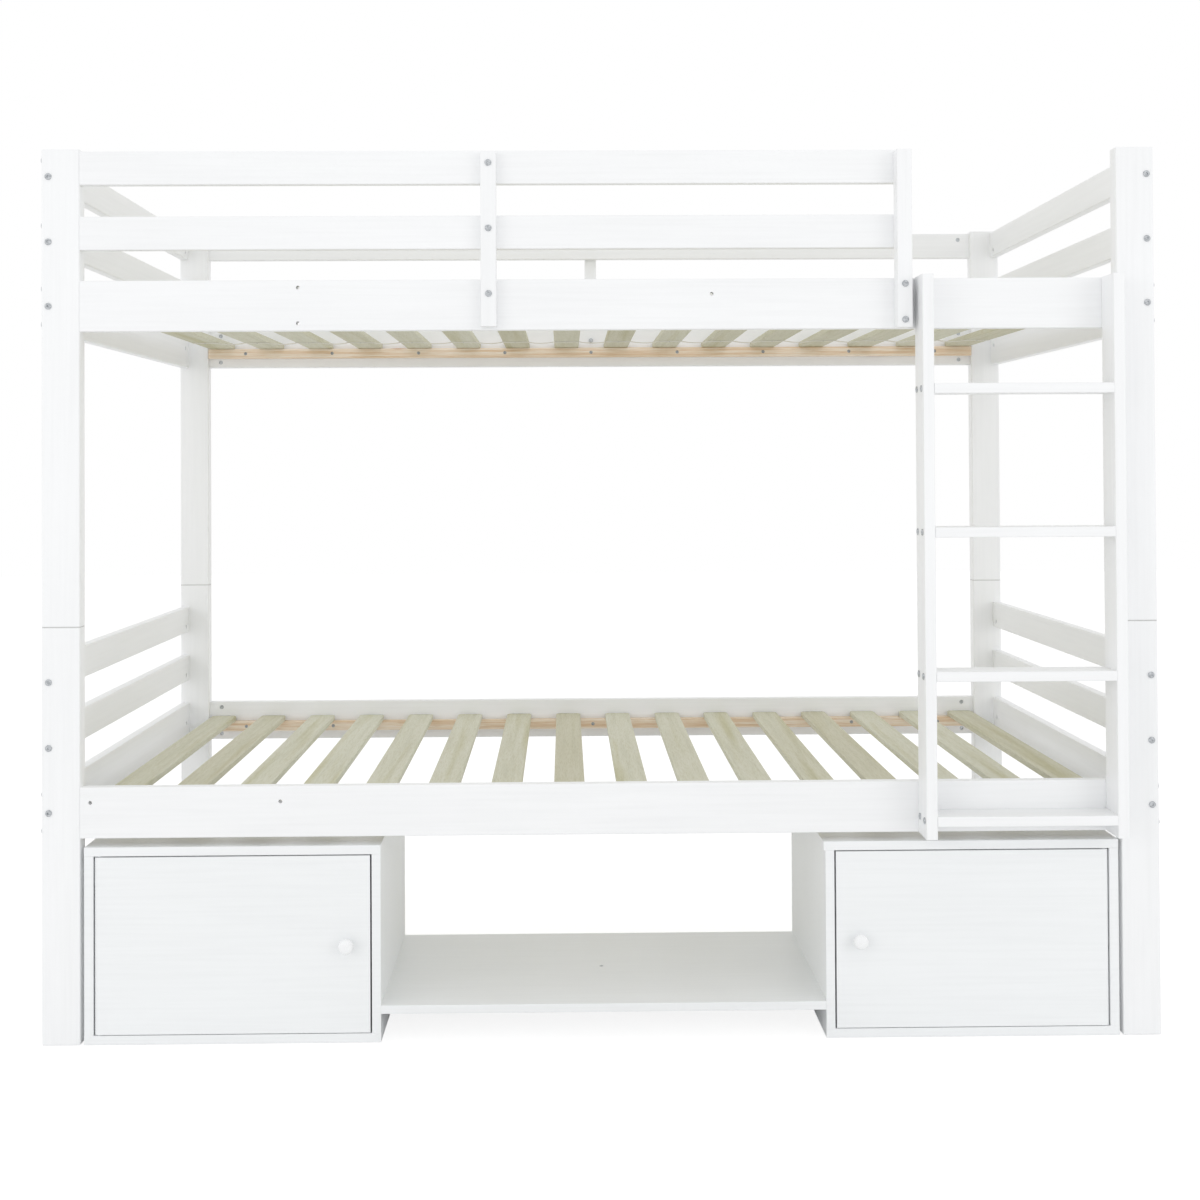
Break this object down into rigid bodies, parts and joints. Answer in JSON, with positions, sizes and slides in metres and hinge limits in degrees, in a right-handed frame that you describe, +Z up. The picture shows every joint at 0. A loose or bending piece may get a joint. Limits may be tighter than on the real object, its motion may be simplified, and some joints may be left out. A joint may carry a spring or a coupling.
{
  "type": "bunk bed",
  "caption": "Wooden bunk bed with slatted bunks, guard rails, a fixed ladder and two under-bed cabinets whose doors open, joined by a low shelf.",
  "frame": {"origin": "on the floor, in the middle of everything that the bed covers: midway between the ends' bolt heads and between the ladder's front and the back batten's bolt heads", "axes": "+X along the bed to its right, where the ladder is, +Y from the front to the back, +Z up"},
  "size_m": [2.005, 1.1464, 1.597],
  "materials": {
    "white_painted_wood": "smooth white satin paint over wood",
    "slat_wood": "bare pale hardwood, sanded",
    "pine": "bare pine, sanded",
    "dowel_beech": "bare beech",
    "zinc_steel": "zinc plated steel",
    "catch_plastic": "matt white plastic",
    "webbing": "woven polyester ribbon"
  },
  "bodies": {
    "frame": {"barrel_nuts": "zinc_steel", "bed_rail_bolts": "zinc_steel", "bed_rail_lower_back": "white_painted_wood", "bed_rail_lower_front": "white_painted_wood", "bed_rail_upper_back": "white_painted_wood", "bed_rail_upper_front": "white_painted_wood", "cabinet_screws": "zinc_steel", "cap_nuts": "zinc_steel", "catches": "catch_plastic", "centre_shelf": "white_painted_wood", "door_pivots": "zinc_steel", "dowels": "dowel_beech", "end_rail_bolts": "zinc_steel", "end_rails_lower_left": "white_painted_wood", "end_rails_lower_right": "white_painted_wood", "end_rails_upper_left": "white_painted_wood", "end_rails_upper_right": "white_painted_wood", "guard_batten_back": "white_painted_wood", "guard_batten_front": "white_painted_wood", "guard_bolts": "zinc_steel", "guard_post": "white_painted_wood", "guard_rails_back": "white_painted_wood", "guard_rails_front": "white_painted_wood", "ladder_bolts": "zinc_steel", "ladder_insert_nuts": "zinc_steel", "ladder_rungs": "white_painted_wood", "ladder_stile_left": "white_painted_wood", "ladder_stile_right": "white_painted_wood", "ledgers": "pine", "left_cabinet_back": "white_painted_wood", "left_cabinet_bottom": "white_painted_wood", "left_cabinet_inner_side": "white_painted_wood", "left_cabinet_outer_side": "white_painted_wood", "left_cabinet_top": "white_painted_wood", "post_lower_back_left": "white_painted_wood", "post_lower_back_right": "white_painted_wood", "post_lower_front_left": "white_painted_wood", "post_lower_front_right": "white_painted_wood", "post_pins": "zinc_steel", "post_upper_back_left": "white_painted_wood", "post_upper_back_right": "white_painted_wood", "post_upper_front_left": "white_painted_wood", "post_upper_front_right": "white_painted_wood", "right_cabinet_back": "white_painted_wood", "right_cabinet_bottom": "white_painted_wood", "right_cabinet_inner_side": "white_painted_wood", "right_cabinet_outer_side": "white_painted_wood", "right_cabinet_top": "white_painted_wood", "rung_bolts": "zinc_steel", "shelf_foot": "white_painted_wood", "slat_straps": "webbing", "slats_lower": "slat_wood", "slats_upper": "slat_wood", "wood_screws": "zinc_steel"},
    "left_door": {"left_door": "white_painted_wood", "left_knob": "white_painted_wood", "left_door_strike": "zinc_steel"},
    "right_door": {"right_door": "white_painted_wood", "right_knob": "white_painted_wood", "right_door_strike": "zinc_steel"}
  },
  "joints": [
    {"name": "left_door_hinge", "type": "hinge", "parent": "frame", "child": "left_door", "pos_m": [-0.8998, -0.50125, 0.17475], "axis": [0, 0, -1], "range_deg": [0, 95]},
    {"name": "right_door_hinge", "type": "hinge", "parent": "frame", "child": "right_door", "pos_m": [0.8998, -0.50125, 0.17475], "axis": [0, 0, 1], "range_deg": [0, 95]}
  ]
}
